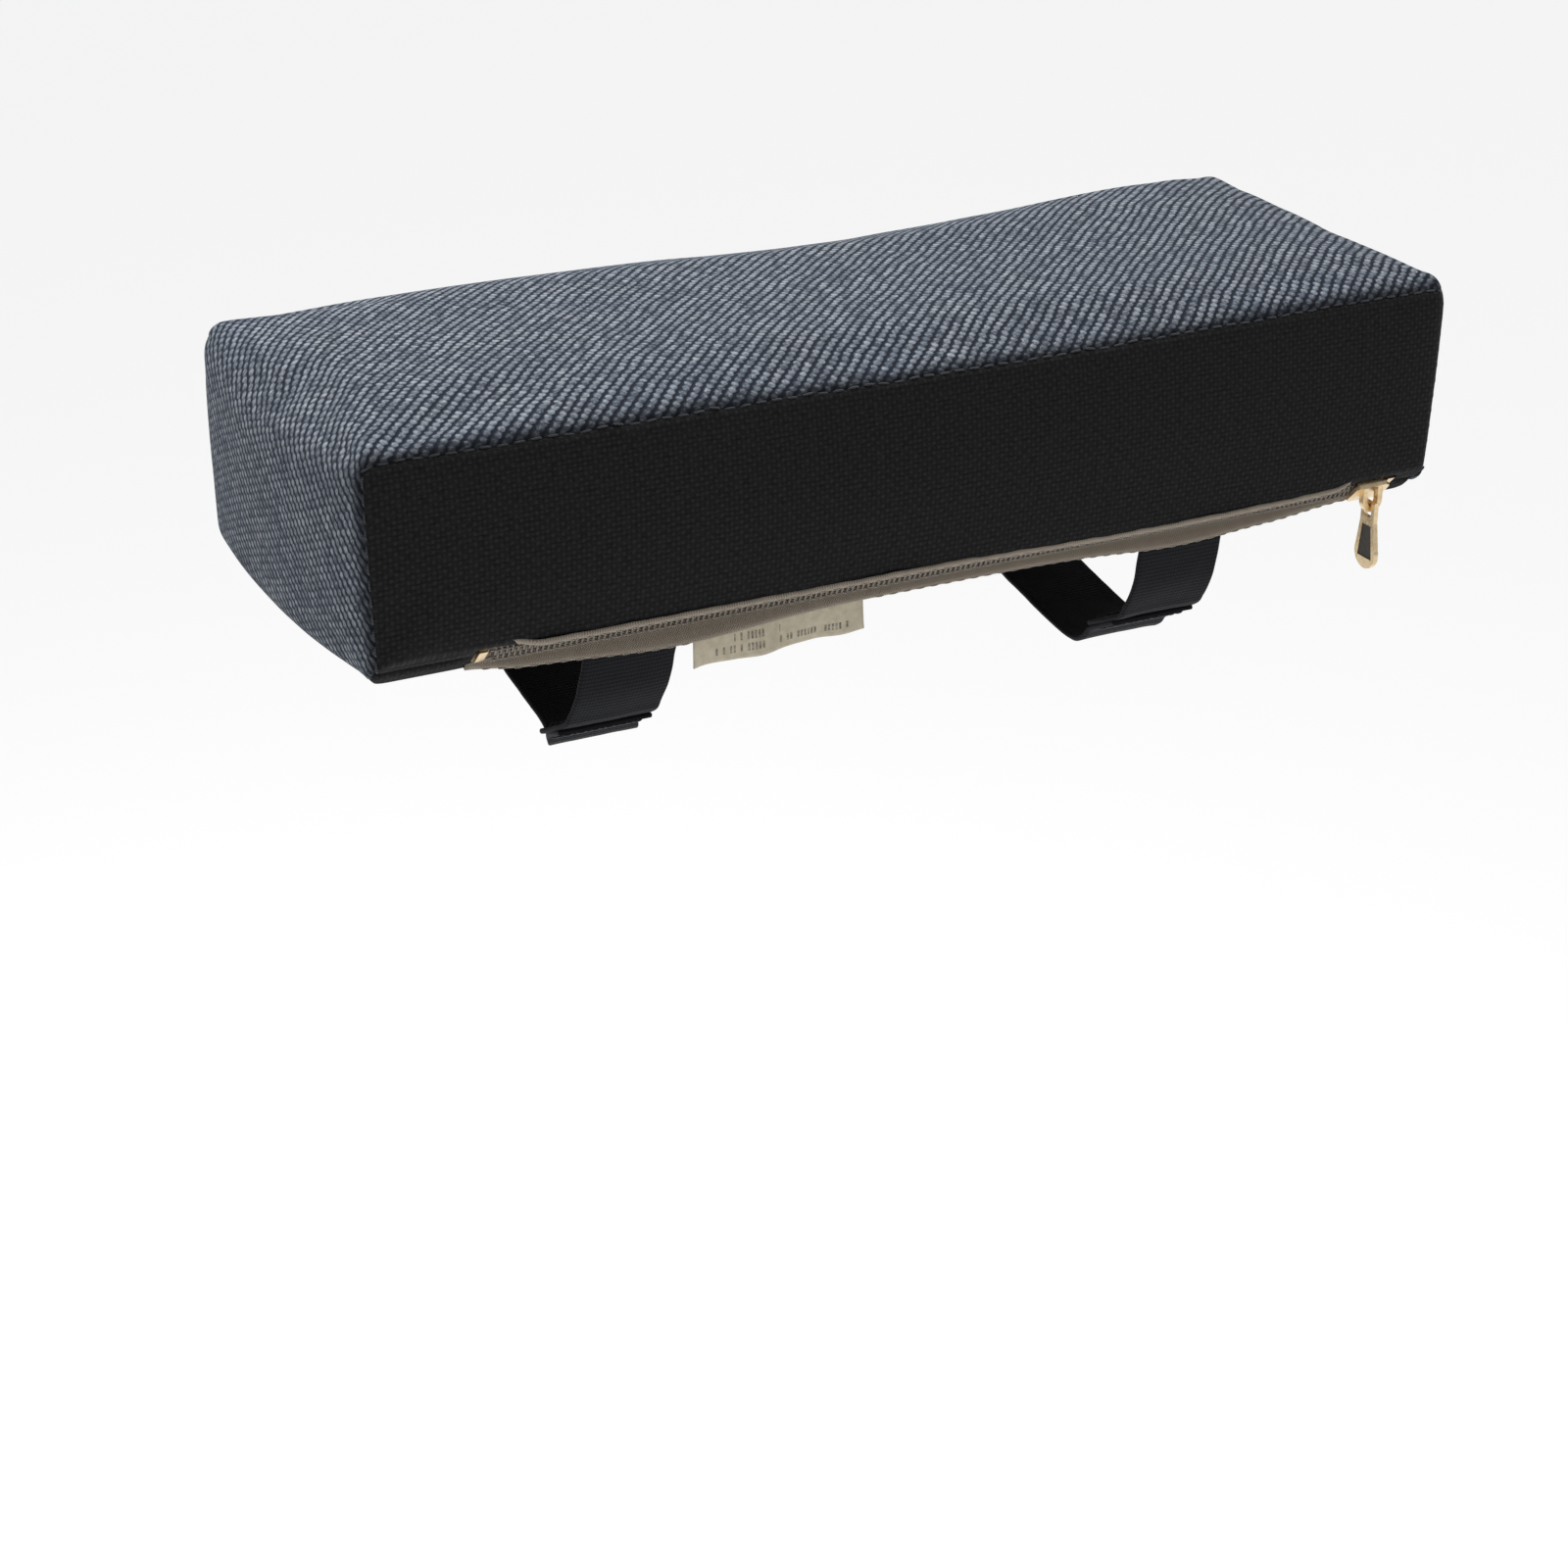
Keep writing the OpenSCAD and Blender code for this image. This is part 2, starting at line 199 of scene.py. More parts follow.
# ---------------------------------------------------------------- materials
class Nodes:
    """A small builder for node materials."""

    def __init__(self, name):
        self.mat = bpy.data.materials.new(name)
        self.mat.use_nodes = True
        self.tree = self.mat.node_tree
        self.tree.nodes.clear()
        self.out = self.add("ShaderNodeOutputMaterial")
        self.bsdf = self.add("ShaderNodeBsdfPrincipled")
        self.link(self.bsdf.outputs[0], self.out.inputs["Surface"])

    def add(self, kind, **values):
        node = self.tree.nodes.new(kind)
        for key, value in values.items():
            if hasattr(node, key):
                setattr(node, key, value)
            else:
                node.inputs[key.replace("_", " ")].default_value = value
        return node

    def link(self, a, b):
        self.tree.links.new(a, b)

    def put(self, socket, value):
        if hasattr(value, "is_linked") or hasattr(value, "links"):
            self.link(value, socket)
        else:
            socket.default_value = value

    def math(self, op, a, b=0.0, c=0.0, clamp=False):
        node = self.add("ShaderNodeMath")
        node.operation = op
        node.use_clamp = clamp
        for socket, value in zip(node.inputs, (a, b, c)):
            self.put(socket, value)
        return node.outputs[0]

    def vector(self, op, a, b=(0, 0, 0)):
        node = self.add("ShaderNodeVectorMath")
        node.operation = op
        self.put(node.inputs[0], a)
        if op == "SCALE":
            node.inputs["Scale"].default_value = b
        else:
            self.put(node.inputs[1], b)
        return node.outputs[0]

    def mix(self, fac, a, b, blend="MIX"):
        node = self.add("ShaderNodeMix")
        node.data_type = "RGBA"
        node.blend_type = blend
        self.put(node.inputs[0], fac)
        self.put(node.inputs[6], a)
        self.put(node.inputs[7], b)
        return node.outputs[2]

    def ramp(self, fac, stops):
        node = self.add("ShaderNodeValToRGB")
        ramp = node.color_ramp
        while len(ramp.elements) < len(stops):
            ramp.elements.new(0.5)
        for element, (pos, colour) in zip(ramp.elements, stops):
            element.position = pos
            element.color = (*colour, 1) if len(colour) == 3 else colour
        self.put(node.inputs[0], fac)
        return node.outputs[0]

    def noise(self, vector, scale, detail=2.0, rough=0.5):
        node = self.add("ShaderNodeTexNoise")
        self.put(node.inputs["Vector"], vector)
        node.inputs["Scale"].default_value = scale
        node.inputs["Detail"].default_value = detail
        node.inputs["Roughness"].default_value = rough
        return node.outputs["Fac"]

    def attribute_mm(self, name="weave"):
        node = self.add("ShaderNodeAttribute")
        node.attribute_name = name
        return self.vector("SCALE", node.outputs["Vector"], 1.0)

    def object_mm(self):
        node = self.add("ShaderNodeTexCoord")
        return self.vector("SCALE", node.outputs["Object"], 1000.0)

    def parts(self, vector):
        node = self.add("ShaderNodeSeparateXYZ")
        self.put(node.inputs[0], vector)
        return node.outputs

    def join(self, x, y, z=0.0):
        node = self.add("ShaderNodeCombineXYZ")
        for socket, value in zip(node.inputs, (x, y, z)):
            self.put(socket, value)
        return node.outputs[0]

    def bump(self, height, strength, distance_mm):
        node = self.add("ShaderNodeBump")
        node.inputs["Strength"].default_value = strength
        node.inputs["Distance"].default_value = distance_mm * MM
        self.put(node.inputs["Height"], height)
        self.link(node.outputs[0], self.bsdf.inputs["Normal"])

    def finish(self, colour, rough=0.8, metallic=0.0, sheen=0.0, specular=0.5, tint=None):
        self.put(self.bsdf.inputs["Base Color"],
                 (*colour, 1) if isinstance(colour, tuple) else colour)
        self.put(self.bsdf.inputs["Roughness"], rough)
        self.bsdf.inputs["Metallic"].default_value = metallic
        self.bsdf.inputs["Specular IOR Level"].default_value = specular
        if sheen:
            self.bsdf.inputs["Sheen Weight"].default_value = sheen
            self.bsdf.inputs["Sheen Roughness"].default_value = 0.5
            if tint:
                self.bsdf.inputs["Sheen Tint"].default_value = (*tint, 1)
        return self.mat


RIB, DASH = 2.0, 1.7       # spacing of the twill's ribs, and of the dashes along one, mm


def tweed_material():
    """Diagonal ribs of light yarn, 2 mm apart, broken into dashes with dark gaps."""
    m = Nodes("tweed")
    x, y, seam = m.parts(m.attribute_mm())
    wob = m.math("MULTIPLY", m.math("SUBTRACT", m.noise(m.attribute_mm(), 0.09, 2), 0.5), 1.6)
    fine = m.math("MULTIPLY", m.math("SUBTRACT", m.noise(m.attribute_mm(), 1.1, 1), 0.5), 0.5)
    along = m.math("MULTIPLY", m.math("ADD", x, y), 0.70711)
    across = m.math("MULTIPLY", m.math("SUBTRACT", y, x), 0.70711)
    across = m.math("ADD", m.math("ADD", across, wob), fine)
    brick = m.add("ShaderNodeTexBrick")
    brick.offset = 0.5
    brick.offset_frequency = 2
    brick.squash = 1.0
    m.link(m.join(along, across), brick.inputs["Vector"])
    brick.inputs["Scale"].default_value = 1.0
    brick.inputs["Brick Width"].default_value = DASH
    brick.inputs["Row Height"].default_value = RIB
    brick.inputs["Mortar Size"].default_value = 0.0
    brick.inputs["Bias"].default_value = 0.0
    brick.inputs["Color1"].default_value = (0, 0, 0, 1)
    brick.inputs["Color2"].default_value = (1, 1, 1, 1)
    random = m.math("MULTIPLY", brick.outputs["Color"], 1.0)
    # the rib's rounded section, and the bead of each dash along it
    rib = m.math("SINE", m.math("MULTIPLY", across, math.pi / RIB))
    rib = m.math("ABSOLUTE", rib)
    row = m.math("FLOOR", m.math("DIVIDE", across, RIB))
    odd = m.math("MULTIPLY", m.math("MODULO", row, 2.0), math.pi)
    bead = m.math("SINE", m.math("ADD", m.math("MULTIPLY", along, 2 * math.pi / DASH), odd))
    bead = m.math("ADD", m.math("MULTIPLY", bead, 0.5), 0.5)
    height = m.math("MULTIPLY", m.math("POWER", rib, 0.9),
                    m.math("ADD", m.math("MULTIPLY", bead, 0.45), 0.55))
    light = m.mix(random, (0.118, 0.139, 0.172, 1), (0.315, 0.346, 0.39, 1))
    speck = m.ramp(m.noise(m.attribute_mm(), 0.9, 3, 0.7),
                   [(0.36, (0.08, 0.10, 0.155)), (0.55, (1, 1, 1))])
    light = m.mix(0.65, light, m.mix(1.0, light, speck, "MULTIPLY"))
    cloud = m.ramp(m.noise(m.attribute_mm(), 0.05, 2),
                   [(0.3, (0.9, 0.92, 0.96)), (0.7, (1.06, 1.05, 1.02))])
    light = m.mix(1.0, light, cloud, "MULTIPLY")
    fleck = m.ramp(m.noise(m.attribute_mm(), 1.5, 2, 0.6), [(0.56, (0, 0, 0)), (0.68, (1, 1, 1))])
    light = m.mix(m.math("MULTIPLY", fleck, 0.7), light, (0.43, 0.465, 0.49, 1))
    gap = m.ramp(height, [(0.34, (0, 0, 0)), (0.7, (1, 1, 1))])
    colour = m.mix(gap, (0.012, 0.017, 0.029, 1), light)
    # painted shade: the top cloth is darkened where it rolls over the edge towards the side panels, with a
    # ragged border
    ragged = m.math("SUBTRACT", m.noise(m.attribute_mm(), 0.7, 3), 0.5)
    turn = m.math("ADD", seam, m.math("MULTIPLY", ragged, 3.5))
    colour = m.mix(m.ramp(m.math("DIVIDE", turn, 5.0), [(0.12, (0.22, 0.22, 0.22)), (0.75, (1, 1, 1))]),
                   (0.006, 0.007, 0.010, 1), colour)
    fibre = m.noise(m.attribute_mm(), 6.0, 3, 0.8)
    m.bump(m.math("ADD", height, m.math("MULTIPLY", fibre, 0.25)), 0.8, 0.55)
    return m.finish(colour, 0.92, sheen=0.06, specular=0.15, tint=(0.8, 0.87, 1.0))


def plain_weave(name, base, light, pitch=1.05, sheen=0.03, depth=0.3):
    """A plain weave: threads go over and under each other on a square grid."""
    m = Nodes(name)
    x, y, _ = m.parts(m.attribute_mm())
    k = math.pi / pitch
    sx = m.math("SINE", m.math("MULTIPLY", x, k))
    sy = m.math("SINE", m.math("MULTIPLY", y, k))
    weave = m.math("MULTIPLY", sx, sy)
    cell = m.math("MULTIPLY", m.math("ABSOLUTE", sx), m.math("ABSOLUTE", sy))
    height = m.math("ADD", m.math("MULTIPLY", weave, 0.25), m.math("MULTIPLY", cell, 0.6))
    yarn = m.noise(m.vector("MULTIPLY", m.attribute_mm(), (0.9, 2.4, 1.0)), 0.6, 4, 0.7)
    tone = m.math("ADD", m.math("MULTIPLY", height, 0.4), m.math("MULTIPLY", yarn, 0.8))
    colour = m.ramp(tone, [(0.32, base), (0.72, light)])
    fibre = m.noise(m.attribute_mm(), 5.0, 3, 0.8)
    m.bump(m.math("ADD", height, m.math("MULTIPLY", fibre, 0.4)), 0.6, depth)
    return m.finish(colour, 0.9, sheen=sheen, specular=0.15, tint=(0.8, 0.8, 0.85))


def elastic_material():
    """Woven elastic: fine ribs across the band with rows of stretch cords along it."""
    m = Nodes("elastic")
    s, x, _ = m.parts(m.attribute_mm())
    rib = m.math("ABSOLUTE", m.math("SINE", m.math("MULTIPLY", s, math.pi / 0.95)))
    cord = m.math("ABSOLUTE", m.math("SINE", m.math("MULTIPLY", x, math.pi / 0.72)))
    height = m.math("ADD", m.math("MULTIPLY", rib, 0.6), m.math("MULTIPLY", cord, 0.4))
    patch = m.noise(m.attribute_mm(), 0.25, 4, 0.7)
    tone = m.math("ADD", m.math("MULTIPLY", height, 0.7), m.math("MULTIPLY", patch, 0.4))
    colour = m.ramp(tone, [(0.3, (0.0025, 0.0028, 0.004)), (0.85, (0.0095, 0.0102, 0.0135))])
    m.bump(height, 0.6, 0.25)
    return m.finish(colour, 0.72, sheen=0.01, specular=0.16, tint=(0.75, 0.82, 1.0))


def thread_material(name, colour, light):
    m = Nodes(name)
    p = m.object_mm()
    twist = m.add("ShaderNodeTexWave")
    twist.wave_type = "BANDS"
    twist.bands_direction = "DIAGONAL"
    m.link(p, twist.inputs["Vector"])
    twist.inputs["Scale"].default_value = 1.1
    twist.inputs["Distortion"].default_value = 0.6
    tone = m.ramp(twist.outputs["Fac"], [(0.2, colour), (0.9, light)])
    m.bump(twist.outputs["Fac"], 0.5, 0.1)
    return m.finish(tone, 0.7, sheen=0.2, specular=0.35)


def tape_material():
    """Zipper tape: herringbone of fine ribs along the tape."""
    m = Nodes("zipper_tape")
    x, y, _ = m.parts(m.attribute_mm())
    zig = m.math("ABSOLUTE", m.math("SUBTRACT", m.math("MODULO", m.math("ADD", y, 40.0), 1.4), 0.7))
    rib = m.math("SINE", m.math("MULTIPLY", m.math("ADD", x, zig), 2 * math.pi / 0.55))
    height = m.math("ADD", m.math("MULTIPLY", rib, 0.5), 0.5)
    patch = m.noise(m.attribute_mm(), 0.4, 3, 0.6)
    tone = m.math("ADD", m.math("MULTIPLY", height, 0.65), m.math("MULTIPLY", patch, 0.4))
    colour = m.ramp(tone, [(0.2, (0.22, 0.185, 0.145)), (0.8, (0.42, 0.36, 0.29))])
    m.bump(height, 0.6, 0.2)
    return m.finish(colour, 0.85, sheen=0.1, specular=0.3)


def coil_material():
    m = Nodes("zipper_coil")
    p = m.object_mm()
    tone = m.ramp(m.noise(p, 0.8, 3, 0.6), [(0.3, (0.15, 0.125, 0.1)), (0.7, (0.24, 0.203, 0.168))])
    m.bump(m.noise(p, 7.0, 2), 0.2, 0.05)
    rough = m.ramp(m.noise(p, 2.0, 2), [(0.3, (0.34, 0.34, 0.34)), (0.7, (0.52, 0.52, 0.52))])
    return m.finish(tone, rough, specular=0.5)


def gold_material():
    m = Nodes("pale_gold")
    p = m.object_mm()
    worn = m.noise(p, 0.7, 4, 0.7)
    tone = m.ramp(worn, [(0.35, (0.70, 0.52, 0.30)), (0.65, (0.86, 0.70, 0.46))])
    scratch = m.add("ShaderNodeTexNoise")
    stretched = m.vector("MULTIPLY", p, (9.0, 9.0, 0.8))
    m.link(stretched, scratch.inputs["Vector"])
    scratch.inputs["Scale"].default_value = 1.0
    rough = m.ramp(scratch.outputs["Fac"], [(0.3, (0.2, 0.2, 0.2)), (0.75, (0.42, 0.42, 0.42))])
    m.bump(scratch.outputs["Fac"], 0.15, 0.04)
    return m.finish(tone, rough, metallic=1.0)


def inlay_material():
    m = Nodes("inlay")
    p = m.object_mm()
    tone = m.ramp(m.noise(p, 1.5, 4, 0.7), [(0.3, (0.022, 0.017, 0.013)), (0.7, (0.052, 0.042, 0.034))])
    m.bump(m.noise(p, 5.0, 3), 0.35, 0.08)
    return m.finish(tone, 0.55)


def label_material():
    """Satin tape with generic printed marks: rows of short bars, no letters."""
    m = Nodes("label")
    x, y, _ = m.parts(m.attribute_mm())
    slant = m.math("ADD", x, m.math("MULTIPLY", y, 3.0))
    satin = m.math("SINE", m.math("MULTIPLY", slant, 2 * math.pi / 0.5))
    patch = m.noise(m.attribute_mm(), 0.4, 4, 0.6)
    tone = m.math("ADD", m.math("MULTIPLY", satin, 0.08), patch)
    cloth = m.ramp(tone, [(0.3, (0.51, 0.445, 0.32)), (0.7, (0.68, 0.61, 0.47))])
    # two printed rows of bars of uneven width
    cell = m.math("FLOOR", m.math("MULTIPLY", x, 1 / 0.8))
    white = m.add("ShaderNodeTexWhiteNoise")
    white.noise_dimensions = "1D"
    m.link(cell, white.inputs["W"])
    keep = m.math("GREATER_THAN", white.outputs["Value"], 0.38)
    inside = m.math("LESS_THAN", m.math("MODULO", m.math("ADD", x, 400.0), 0.8), 0.5)
    ink = m.math("MULTIPLY", keep, inside)
    row_low = m.math("LESS_THAN", m.math("ABSOLUTE", m.math("SUBTRACT", y, -5.9)), 0.75)
    row_high = m.math("LESS_THAN", m.math("ABSOLUTE", m.math("SUBTRACT", y, -3.6)), 0.8)
    left = m.math("LESS_THAN", m.math("ABSOLUTE", m.math("ADD", x, 5.0)), 5.2)
    reach = m.math("LESS_THAN", m.math("ABSOLUTE", x), 16.0)
    rows = m.math("MAXIMUM", m.math("MULTIPLY", row_low, reach), m.math("MULTIPLY", row_high, left))
    fade = m.ramp(m.noise(m.attribute_mm(), 1.4, 3, 0.7),
                  [(0.35, (0.25, 0.25, 0.25)), (0.6, (0.85, 0.85, 0.85))])
    ink = m.math("MULTIPLY", m.math("MULTIPLY", ink, rows), fade)
    colour = m.mix(ink, cloth, (0.07, 0.06, 0.05, 1))
    m.bump(satin, 0.3, 0.06)
    return m.finish(colour, 0.6, sheen=0.2, specular=0.4)


def foam_material():
    m = Nodes("foam")
    p = m.object_mm()
    cells = m.add("ShaderNodeTexVoronoi")
    m.link(p, cells.inputs["Vector"])
    cells.inputs["Scale"].default_value = 1.6
    tone = m.ramp(cells.outputs["Distance"], [(0.1, (0.55, 0.46, 0.28)), (0.6, (0.82, 0.74, 0.55))])
    m.bump(cells.outputs["Distance"], 0.6, 0.3)
    return m.finish(tone, 0.95)


TWEED = tweed_material()
DARK = plain_weave("dark_cloth", (0.005, 0.005, 0.0056), (0.021, 0.021, 0.0225))
ELASTIC = elastic_material()
THREAD = thread_material("thread", (0.012, 0.013, 0.017), (0.045, 0.048, 0.058))
THREAD_LIGHT = thread_material("thread_light", (0.2, 0.175, 0.15), (0.42, 0.38, 0.33))
TAPE = tape_material()
COIL = coil_material()
GOLD = gold_material()
INLAY = inlay_material()
LABEL = label_material()
FOAM = foam_material()


def paint(obj, material):
    obj.data.materials.clear()
    obj.data.materials.append(material)


# ---------------------------------------------------------------- the pad
def spaced(half, edge, step):
    """Grid lines from -half to half, closer near the edges."""
    inner = np.linspace(-(half - edge), half - edge, int(round(2 * (half - edge) / step)) + 1)
    rim = (np.linspace(0, 1, 6)[1:]) * edge
    return np.concatenate([-(half - edge) - rim[::-1], inner, half - edge + rim])


GX = spaced(HALF_L, 8.0, 3.0)
GY = spaced(HALF_W, 8.0, 3.0)
GZ = spaced(HEIGHT / 2, 7.5, 2.9) + HEIGHT / 2
NX, NY, NZ = len(GX) - 1, len(GY) - 1, len(GZ) - 1


def round_box(p):
    """Rounds a point of the box; the lower front edge comes out flat for the zipper."""
    r_low, r_high = 5.5, 8.0
    radius = np.array([4.5, 4.5, r_high if p[2] > HEIGHT / 2 else r_low])
    low = np.array([-HALF_L, -HALF_W, 0.0]) + radius
    high = np.array([HALF_L, HALF_W, HEIGHT]) - radius
    core = np.clip(p, low, high)
    u = (p - core) / radius
    n = np.linalg.norm(u)
    if n > 1e-9:
        p = core + radius * u / n * np.abs(u).max()
    w = (p[1:] - MID) @ W_DIR
    if w > 0:
        p = np.array([p[0], *(p[1:] - W_DIR * w)])
    return p


lattice = {}
places = []
kinds = []


def corner(i, j, k):
    key = (i, j, k)
    if key not in lattice:
        lattice[key] = len(places)
        places.append(round_box(np.array([GX[i], GY[j], GZ[k]])))
        kinds.append(key)
    return lattice[key]


quads = []            # (four corners, panel)
for i in range(NX):
    for j in range(NY):
        above = (corner(i, j, NZ), corner(i + 1, j, NZ), corner(i + 1, j + 1, NZ), corner(i, j + 1, NZ))
        quads.append((above, "top"))
        below = (corner(i, j, 0), corner(i, j + 1, 0), corner(i + 1, j + 1, 0), corner(i + 1, j, 0))
        quads.append((below, "bottom"))
for i in range(NX):
    for k in range(NZ):
        over = k == NZ - 1                    # the top cloth rolls over the edge
        quads.append(((corner(i, 0, k), corner(i + 1, 0, k), corner(i + 1, 0, k + 1), corner(i, 0, k + 1)),
                      "top" if over else "front"))
        rear = (corner(i, NY, k), corner(i, NY, k + 1), corner(i + 1, NY, k + 1), corner(i + 1, NY, k))
        quads.append((rear, "top" if over else "rear"))
for j in range(NY):
    for k in range(NZ):
        left = (corner(0, j, k), corner(0, j, k + 1), corner(0, j + 1, k + 1), corner(0, j + 1, k))
        quads.append((left, "top"))
        right = (corner(NX, j, k), corner(NX, j + 1, k), corner(NX, j + 1, k + 1), corner(NX, j, k + 1))
        quads.append((right, "top"))
P = np.array(places)

# the two rows that bound the zipper's opening sit exactly beside it
V = (P[:, 1:] - MID) @ V_DIR
mid_i = NX // 2
SLOT_V = 3.15
row_front = min(range(1, NZ // 2), key=lambda k: abs(V[lattice[(mid_i, 0, k)]] - SLOT_V))
row_under = min(range(1, NY // 2), key=lambda j: abs(V[lattice[(mid_i, j, 0)]] + SLOT_V))
slot_lo = int(np.argmin(abs(GX - SLOT_L)))
slot_hi = int(np.argmin(abs(GX - SLOT_R)))
for n, (i, j, k) in enumerate(kinds):
    if slot_lo <= i <= slot_hi and ((j == 0 and k == row_front) or (k == 0 and j == row_under)):
        v = SLOT_V if j == 0 and k == row_front else -SLOT_V
        P[n, 1:] = MID + V_DIR * v
IN_SLOT = np.array([slot_lo <= i <= slot_hi and ((j == 0 and k <= row_front) or (k == 0 and j <= row_under))
                    for i, j, k in kinds])
SEAM = np.array([(j in (0, NY) and (i in (0, NX) or k in (0, NZ - 1))) or (k == 0 and i in (0, NX))
                 for i, j, k in kinds])


def swell(points):
    """Pressure cloth on the pad's skin, held along its seams and under the pad."""
    obj = new_object("swell_tmp", points, [q for q, _ in quads])
    group = obj.vertex_groups.new(name="hold")
    for n, (i, j, k) in enumerate(kinds):
        hold = 1.0 if (SEAM[n] or IN_SLOT[n] or k == 0) else 0.0
        if hold:
            group.add([n], hold, "REPLACE")
    cloth = obj.modifiers.new("cloth", "CLOTH")
    s = cloth.settings
    s.quality = 6
    s.mass = 0.25
    s.tension_stiffness = 12
    s.compression_stiffness = 12
    s.shear_stiffness = 6
    s.bending_stiffness = 1.2
    s.use_pressure = True
    s.uniform_pressure_force = 4.0
    s.vertex_group_mass = "hold"
    s.effector_weights.gravity = 0.0
    cloth.point_cache.frame_start = 1
    cloth.point_cache.frame_end = 20
    scene = bpy.context.scene
    for f in range(1, 21):
        scene.frame_set(f)
    graph = bpy.context.evaluated_depsgraph_get()
    mesh = obj.evaluated_get(graph).to_mesh()
    moved = np.zeros(len(mesh.vertices) * 3, np.float32)
    mesh.vertices.foreach_get("co", moved)
    moved = moved.reshape(-1, 3).astype(float) / MM
    bpy.data.objects.remove(obj)
    scene.frame_set(1)
    delta = moved - points
    length = np.linalg.norm(delta, axis=1)
    print("swell: largest move mm", round(float(length.max()), 2), "mean", round(float(length.mean()), 2))
    cap = 2.6
    scale = np.where(length > cap, cap / np.maximum(length, 1e-9), 1.0)
    return points + delta * scale[:, None]


def shape(points):
    """Crown, seam pull and small ripples that a foam pad has in its cover."""
    out = points.copy()
    for n, (i, j, k) in enumerate(kinds):
        x, y, z = points[n]
        fx = max(0.0, 1 - (x / HALF_L) ** 4)
        fy = max(0.0, 1 - (y / HALF_W) ** 2)
        fz = max(0.0, 1 - ((z - HEIGHT / 2) / (HEIGHT / 2)) ** 2)
        if z > HEIGHT - 9:
            sag = -1.3 * bell(x, 18, 48) + 0.9 * bell(x, 102, 20)
            out[n, 2] += sag * (0.35 + 0.65 * step(y, -30, 40)) * step(z, HEIGHT - 9, HEIGHT)
        if k == NZ:
            out[n, 2] += 1.2 * fx ** 0.7 * fy ** 0.8
        if j == 0 or j == NY:
            side = -1 if j == 0 else 1
            out[n, 1] += side * 0.8 * fz * fx ** 0.5
        if i == 0 or i == NX:
            side = -1 if i == 0 else 1
            out[n, 0] += side * 1.6 * fz * fy
        draw = 2.8 if x > 0 else 1.4
        out[n, 0] -= math.copysign(draw, x) * max(0.0, 1 - z / HEIGHT) ** 1.4 * step(abs(x), 88, 125)
        if x < 0 and y > -34:
            droop = step(-x, DROOP_X, HALF_L) * step(-z, -22, 0) * max(0.0, 1 - ((y - 4) / 38) ** 2)
            out[n, 2] -= 2.4 * droop
            out[n, 0] -= 1.1 * droop
        if not IN_SLOT[n]:
            wob = noise.noise(Vector((x / 34.0, y / 30.0, z / 26.0 + 3.1)))
            small = noise.noise(Vector((x / 11.0 + 9.0, y / 12.0, z / 12.0)))
            centre = np.array([np.clip(x, -HALF_L + 25, HALF_L - 25), 0.0, HEIGHT / 2])
            d = points[n] - centre
            d /= np.linalg.norm(d)
            if k != 0:
                out[n] += d * (0.5 * wob + 0.14 * small)
    return out


P = shape(P)
P = swell(P)
W_NOW = (P[:, 1:] - MID) @ W_DIR
front_low = (P[:, 1] < -30) & (P[:, 2] < 14)
over = front_low & (W_NOW > 0.05)
P[over, 1:] -= W_DIR * (W_NOW[over] - 0.05)[:, None]
P[:, 2] = np.where(P[:, 0] > -DROOP_X, np.maximum(P[:, 2], 0.0), P[:, 2])
for n, (i, j, k) in enumerate(kinds):
    if j == 0 and k >= row_front and P[n, 2] < 20:
        drop = hem_drop(P[n, 0]) * (1 - step(P[n, 2], 5, 20))
        P[n, 1] -= 0.45 * drop
        P[n, 2] -= drop
    if (j in (0, NY)) and k == NZ - 1 and 0 < i < NX:
        long_wave = noise.noise(Vector((P[n, 0] / 7.0, j, 5.0)))
        short_wave = noise.noise(Vector((P[n, 0] / 2.6, j, 8.0)))
        P[n, 2] += 0.45 * long_wave + 0.3 * short_wave


def strip_coordinates():
    """Distance along the top strip and across it, measured on the cloth itself."""
    weave = np.zeros((len(P), 3))
    walk = [(0, k) for k in range(NZ)] + [(i, NZ) for i in range(NX + 1)]
    walk += [(NX, k) for k in range(NZ - 1, -1, -1)]
    grid = np.array([[P[lattice[(i, j, k)]] for j in range(NY + 1)] for i, k in walk])
    steps_along = np.linalg.norm(np.diff(grid, axis=0), axis=2)
    s = np.concatenate([np.zeros((1, NY + 1)), np.cumsum(steps_along, axis=0)])
    s -= s[len(walk) // 2]
    steps_across = np.linalg.norm(np.diff(grid, axis=1), axis=2)
    t = np.concatenate([np.zeros((len(walk), 1)), np.cumsum(steps_across, axis=1)], axis=1)
    t -= t[:, [NY // 2]]
    for a, (i, k) in enumerate(walk):
        for j in range(NY + 1):
            weave[lattice[(i, j, k)]] = (s[a, j], t[a, j], 0)
    for i in range(1, NX):
        for j, side in ((0, -1), (NY, 1)):
            edge, low = lattice[(i, j, NZ)], lattice[(i, j, NZ - 1)]
            weave[low] = weave[edge] + (0, side * np.linalg.norm(P[edge] - P[low]), 0)
    for (i, j, k), n in lattice.items():
        edge = lattice[(i, 0 if j < NY / 2 else NY, max(min(k, NZ - 1), 0))]
        weave[n, 2] = np.linalg.norm(P[n] - P[edge])
    return weave


STRIP = strip_coordinates()
NORMALS = np.zeros_like(P)
for q, _ in quads:
    a, b, c, d = (P[n] for n in q)
    nrm = np.cross(c - a, d - b)
    for n in q:
        NORMALS[n] += nrm
NORMALS /= np.linalg.norm(NORMALS, axis=1)[:, None]


def keep_quad(q, panel):
    """Leaves the zipper's opening out of the front and bottom panels."""
    ks = [kinds[n] for n in q]
    inside = all(slot_lo <= i <= slot_hi for i, _, _ in ks)
    if panel == "front" and inside and all(k <= row_front for _, _, k in ks):
        return False
    if panel == "bottom" and inside and all(j <= row_under for _, j, _ in ks):
        return False
    return True


